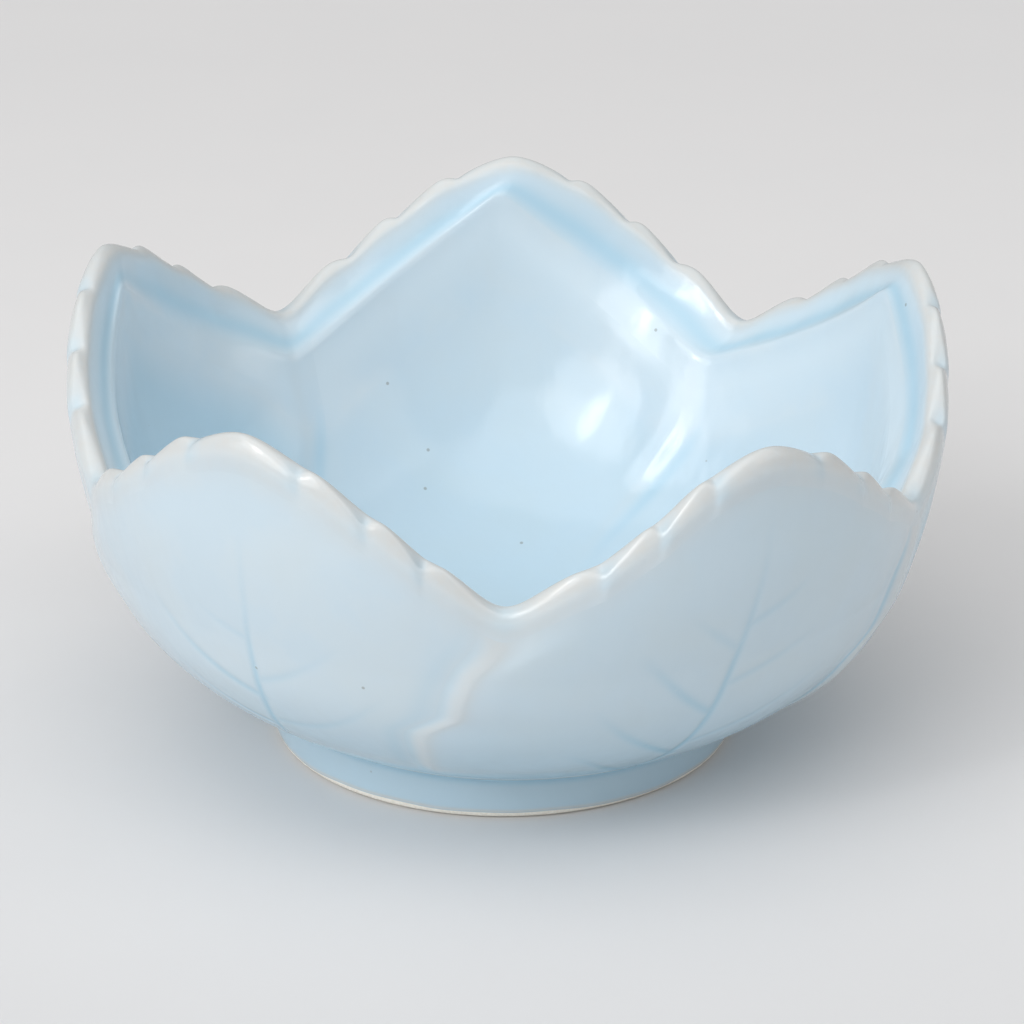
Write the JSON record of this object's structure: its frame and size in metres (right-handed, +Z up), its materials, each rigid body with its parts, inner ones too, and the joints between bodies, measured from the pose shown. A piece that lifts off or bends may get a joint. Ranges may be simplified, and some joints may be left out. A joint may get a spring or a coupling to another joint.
{
  "type": "leaf bowl",
  "caption": "Small deep serving bowl in pale blue celadon, its wall formed of overlapping serrated leaves on a low foot ring.",
  "frame": {"origin": "on the surface the bowl stands on, under the centre of its bounding box; the foot ring's axis is about 1.2 mm from it", "axes": "+Z up out of the bowl; +Y towards the tip of the back leaf, so a valley between two leaves faces -Y; +X to the right"},
  "size_m": [0.115, 0.1148, 0.0599],
  "materials": {
    "leaf_glaze": "glossy",
    "well_glaze": "glossy",
    "foot_glaze": "glossy"
  },
  "bodies": {
    "root": {"leaf_back": "leaf_glaze", "leaf_left": "leaf_glaze", "leaf_front_left": "leaf_glaze", "leaf_front_right": "leaf_glaze", "leaf_right": "leaf_glaze", "bowl_floor": "well_glaze", "foot_ring": "foot_glaze"}
  },
  "joints": []
}
